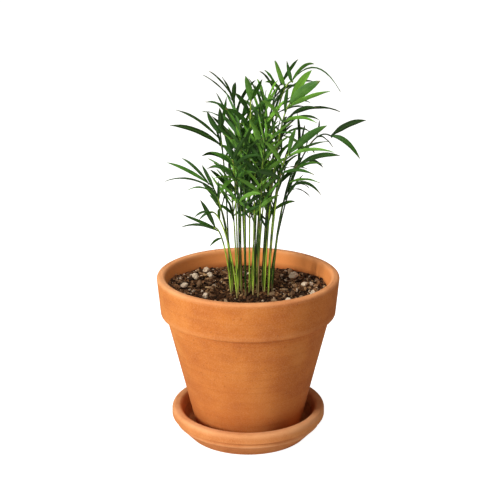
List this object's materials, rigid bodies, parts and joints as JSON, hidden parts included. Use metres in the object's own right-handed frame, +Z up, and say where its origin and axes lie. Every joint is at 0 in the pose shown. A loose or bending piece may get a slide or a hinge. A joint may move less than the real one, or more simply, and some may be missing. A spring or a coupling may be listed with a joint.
{
  "type": "potted palm",
  "caption": "Young parlour palm with fine arching fronds, rooted in soil in a banded terracotta pot that stands in its round saucer.",
  "frame": {"origin": "centre of the saucer's flat underside, on the axis of the pot", "axes": "+Z up along the pot's axis, +X to the right and -Y towards the front"},
  "size_m": [0.1688, 0.1494, 0.3122],
  "materials": {
    "terracotta": "unglazed fired clay, matt",
    "soil": "moist peat and bark potting mix, crumbly and matt",
    "frond": "living palm leaf, semi-gloss",
    "perlite": "porous mineral grain, matt",
    "bark": "bark chip, matt"
  },
  "bodies": {
    "root": {"bark_chip_01": "bark", "bark_chip_02": "bark", "bark_chip_03": "bark", "bark_chip_04": "bark", "frond_inner_back": "frond", "frond_inner_back_right": "frond", "frond_inner_front": "frond", "frond_inner_front_low": "frond", "frond_inner_front_right": "frond", "frond_inner_left_back": "frond", "frond_inner_left_front": "frond", "frond_inner_left_low": "frond", "frond_inner_left_tall": "frond", "frond_inner_middle": "frond", "frond_inner_right_back": "frond", "frond_inner_right_front": "frond", "frond_inner_right_low": "frond", "frond_inner_right_tall": "frond", "frond_inner_tall": "frond", "frond_left_arch": "frond", "frond_left_front": "frond", "frond_left_high": "frond", "frond_left_low": "frond", "frond_left_mid": "frond", "frond_left_small": "frond", "frond_left_top": "frond", "frond_right_arch": "frond", "frond_right_broad": "frond", "frond_right_fan": "frond", "frond_right_low": "frond", "frond_right_mid": "frond", "frond_right_upper": "frond", "frond_top": "frond", "frond_top_left": "frond", "frond_upright": "frond", "perlite_01": "perlite", "perlite_02": "perlite", "perlite_03": "perlite", "perlite_04": "perlite", "perlite_05": "perlite", "perlite_06": "perlite", "perlite_07": "perlite", "perlite_08": "perlite", "perlite_09": "perlite", "perlite_10": "perlite", "pot": "terracotta", "saucer": "terracotta", "soil": "soil"}
  },
  "joints": []
}
